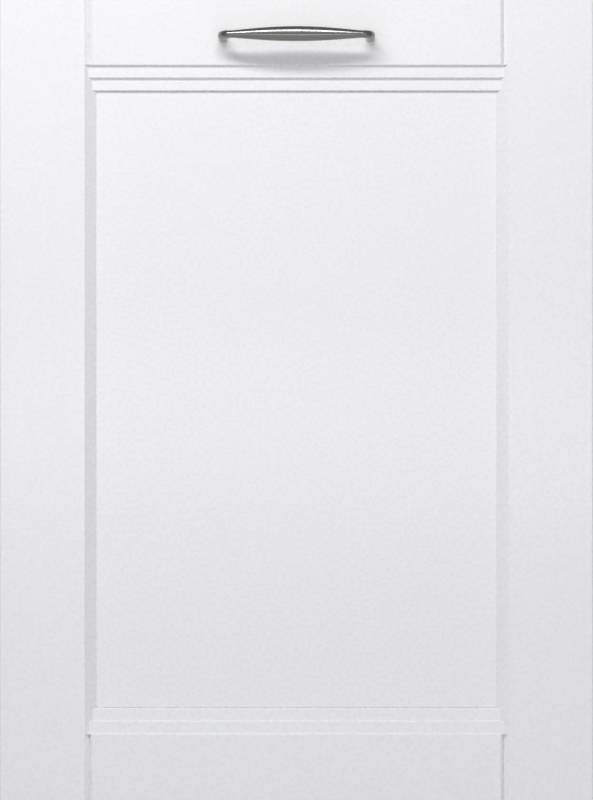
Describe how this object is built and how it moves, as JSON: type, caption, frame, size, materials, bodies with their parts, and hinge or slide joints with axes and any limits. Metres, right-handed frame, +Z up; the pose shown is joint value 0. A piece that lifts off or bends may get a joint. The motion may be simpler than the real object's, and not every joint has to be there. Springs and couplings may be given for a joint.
{
  "type": "built-in dishwasher",
  "caption": "Built-in dishwasher with a white framed door panel and a bow handle; the door folds down and the racks, spray arms and controls move.",
  "frame": {"origin": "on the floor under the middle of the appliance's whole box", "axes": "+Z up, +X to the right seen from the front, the door faces -Y"},
  "size_m": [0.598, 0.605, 0.872],
  "materials": {
    "white_lacquered_wood": "gloss lacquer",
    "brushed_nickel": "brushed",
    "stainless_steel": "satin",
    "galvanised_steel": "matte",
    "coated_wire": "nylon coated",
    "dark_plastic": "moulded",
    "base_plastic": "moulded",
    "grey_plastic": "moulded",
    "blue_mesh_plastic": "moulded",
    "circuit_board": "solder mask",
    "clear_window": "gloss",
    "seal_rubber": "matte",
    "damping_felt": "felted",
    "black_steel": "satin"
  },
  "bodies": {
    "cabinet": {"tub": "stainless_steel", "door_gasket": "seal_rubber", "base_pan": "base_plastic", "insulation_blanket": "damping_felt", "rear_brace": "galvanised_steel", "toe_kick": "black_steel", "counter_brackets": "galvanised_steel", "latch_striker": "stainless_steel", "hinge_brackets": "galvanised_steel", "door_springs": "stainless_steel", "sump": "grey_plastic", "fine_filter": "stainless_steel", "circulation_pump": "dark_plastic", "drain_pump": "dark_plastic", "heater": "stainless_steel", "inlet_valve": "grey_plastic", "junction_box": "galvanised_steel", "water_pipe": "grey_plastic", "rack_rails": "stainless_steel"},
    "door": {"panel_left_stile": "white_lacquered_wood", "panel_right_stile": "white_lacquered_wood", "panel_top_rail": "white_lacquered_wood", "panel_bottom_rail": "white_lacquered_wood", "panel_centre": "white_lacquered_wood", "handle": "brushed_nickel", "panel_screws": "galvanised_steel", "door_frame": "galvanised_steel", "door_insulation": "damping_felt", "door_liner": "stainless_steel", "control_fascia": "dark_plastic", "display_window": "clear_window", "control_board": "circuit_board", "latch_housing": "dark_plastic", "dispenser_body": "grey_plastic", "hinge_arms": "galvanised_steel", "door_bottom_seal": "seal_rubber"},
    "power_button": {"power_button": "stainless_steel"},
    "programme_button": {"programme_button": "stainless_steel"},
    "start_button": {"start_button": "stainless_steel"},
    "latch_lever": {"latch_lever": "stainless_steel"},
    "dispenser_lid": {"dispenser_lid": "grey_plastic"},
    "rinse_aid_cap": {"rinse_aid_cap": "dark_plastic"},
    "top_spray_head": {"top_spray_head": "grey_plastic"},
    "round_filter": {"round_filter": "blue_mesh_plastic"},
    "float_bell": {"float_bell": "grey_plastic"},
    "lower_spray_arm": {"lower_spray_arm": "grey_plastic"},
    "foot_front_left": {"foot_front_left": "grey_plastic"},
    "foot_front_right": {"foot_front_right": "grey_plastic"},
    "foot_rear": {"foot_rear": "grey_plastic"},
    "wheel_front_left": {"wheel_front_left": "grey_plastic"},
    "wheel_front_right": {"wheel_front_right": "grey_plastic"},
    "wheel_rear_left": {"wheel_rear_left": "grey_plastic"},
    "wheel_rear_right": {"wheel_rear_right": "grey_plastic"},
    "fold_down_tines": {"fold_down_tines": "coated_wire"},
    "rail_slides": {"rail_slides": "stainless_steel"},
    "upper_spray_arm": {"upper_spray_arm": "grey_plastic"},
    "cutlery_tray": {"cutlery_tray": "grey_plastic"},
    "lower_rack": {"lower_rack": "coated_wire"},
    "upper_rack": {"upper_rack": "coated_wire", "upper_manifold": "grey_plastic"}
  },
  "joints": [
    {"name": "door_hinge", "type": "hinge", "parent": "cabinet", "child": "door", "pos_m": [0, -0.2175, 0.125], "axis": [1, 0, 0], "range_deg": [0, 90], "stiffness_Nm_per_rad": 38, "springref_deg": -6.88},
    {"name": "power_button_press", "type": "slide", "parent": "door", "child": "power_button", "axis": [0, 0, -1], "range_m": [0, 0.0015], "stiffness_N_per_m": 600},
    {"name": "programme_button_press", "type": "slide", "parent": "door", "child": "programme_button", "axis": [0, 0, -1], "range_m": [0, 0.0015], "stiffness_N_per_m": 600},
    {"name": "start_button_press", "type": "slide", "parent": "door", "child": "start_button", "axis": [0, 0, -1], "range_m": [0, 0.0015], "stiffness_N_per_m": 600},
    {"name": "latch_cam", "type": "hinge", "parent": "door", "child": "latch_lever", "pos_m": [0, -0.208, 0.856], "axis": [-1, 0, 0], "range_deg": [0, 10], "stiffness_Nm_per_rad": 0.4},
    {"name": "detergent_lid", "type": "hinge", "parent": "door", "child": "dispenser_lid", "pos_m": [-0.044, -0.1985, 0.367], "axis": [-1, 0, 0], "range_deg": [0, 105]},
    {"name": "rinse_aid_twist", "type": "hinge", "parent": "door", "child": "rinse_aid_cap", "pos_m": [0.062, -0.2035, 0.405], "axis": [0, 1, 0], "range_deg": [0, 90]},
    {"name": "filter_twist", "type": "hinge", "parent": "cabinet", "child": "round_filter", "pos_m": [0, -0.0325, 0.129], "axis": [0, 0, 1], "range_deg": [0, 45]},
    {"name": "float_lift", "type": "slide", "parent": "cabinet", "child": "float_bell", "axis": [0, 0, 1], "range_m": [0, 0.008]},
    {"name": "lower_arm_spin", "type": "hinge", "parent": "cabinet", "child": "lower_spray_arm", "pos_m": [0, 0.0445, 0.152], "axis": [0, 0, 1], "continuous": true},
    {"name": "top_head_spin", "type": "hinge", "parent": "cabinet", "child": "top_spray_head", "pos_m": [0, 0.0445, 0.815], "axis": [0, 0, 1], "continuous": true},
    {"name": "foot_front_left_height", "type": "slide", "parent": "cabinet", "child": "foot_front_left", "axis": [0, 0, -1], "range_m": [0, 0.024]},
    {"name": "foot_front_right_height", "type": "slide", "parent": "cabinet", "child": "foot_front_right", "axis": [0, 0, -1], "range_m": [0, 0.024]},
    {"name": "foot_rear_height", "type": "slide", "parent": "cabinet", "child": "foot_rear", "axis": [0, 0, -1], "range_m": [0, 0.024]},
    {"name": "lower_rack_roll", "type": "slide", "parent": "cabinet", "child": "lower_rack", "axis": [0, -1, 0], "range_m": [0, 0.45]},
    {"name": "wheel_front_left_spin", "type": "hinge", "parent": "lower_rack", "child": "wheel_front_left", "pos_m": [-0.256, -0.0863, 0.1573], "axis": [1, 0, 0], "range_deg": [0, 1440]},
    {"name": "wheel_front_right_spin", "type": "hinge", "parent": "lower_rack", "child": "wheel_front_right", "pos_m": [0.256, -0.0863, 0.1573], "axis": [1, 0, 0], "range_deg": [0, 1440]},
    {"name": "wheel_rear_left_spin", "type": "hinge", "parent": "lower_rack", "child": "wheel_rear_left", "pos_m": [-0.256, 0.2117, 0.1573], "axis": [1, 0, 0], "range_deg": [0, 1440]},
    {"name": "wheel_rear_right_spin", "type": "hinge", "parent": "lower_rack", "child": "wheel_rear_right", "pos_m": [0.256, 0.2117, 0.1573], "axis": [1, 0, 0], "range_deg": [0, 1440]},
    {"name": "tines_fold", "type": "hinge", "parent": "lower_rack", "child": "fold_down_tines", "pos_m": [0, 0.0895, 0.18377], "axis": [1, 0, 0], "range_deg": [0, 85]},
    {"name": "upper_rack_slide", "type": "slide", "parent": "cabinet", "child": "upper_rack", "axis": [0, -1, 0], "range_m": [0, 0.42]},
    {"name": "rail_slides_travel", "type": "slide", "parent": "cabinet", "child": "rail_slides", "axis": [0, -1, 0], "range_m": [0, 0.21]},
    {"name": "upper_arm_spin", "type": "hinge", "parent": "upper_rack", "child": "upper_spray_arm", "pos_m": [0, 0.0445, 0.4649], "axis": [0, 0, 1], "continuous": true},
    {"name": "cutlery_tray_slide", "type": "slide", "parent": "cabinet", "child": "cutlery_tray", "axis": [0, -1, 0], "range_m": [0, 0.4]}
  ],
  "couplings": [
    {"joint": "lower_rack_roll", "follows": "door_hinge", "m_per_rad": 0.07},
    {"joint": "upper_rack_slide", "follows": "door_hinge", "m_per_rad": 0.267},
    {"joint": "rail_slides_travel", "follows": "door_hinge", "m_per_rad": 0.1335},
    {"joint": "cutlery_tray_slide", "follows": "door_hinge", "m_per_rad": 0.25},
    {"joint": "wheel_front_left_spin", "follows": "door_hinge", "ratio": 3.8889},
    {"joint": "wheel_front_right_spin", "follows": "door_hinge", "ratio": 3.8889},
    {"joint": "wheel_rear_left_spin", "follows": "door_hinge", "ratio": 3.8889},
    {"joint": "wheel_rear_right_spin", "follows": "door_hinge", "ratio": 3.8889}
  ]
}
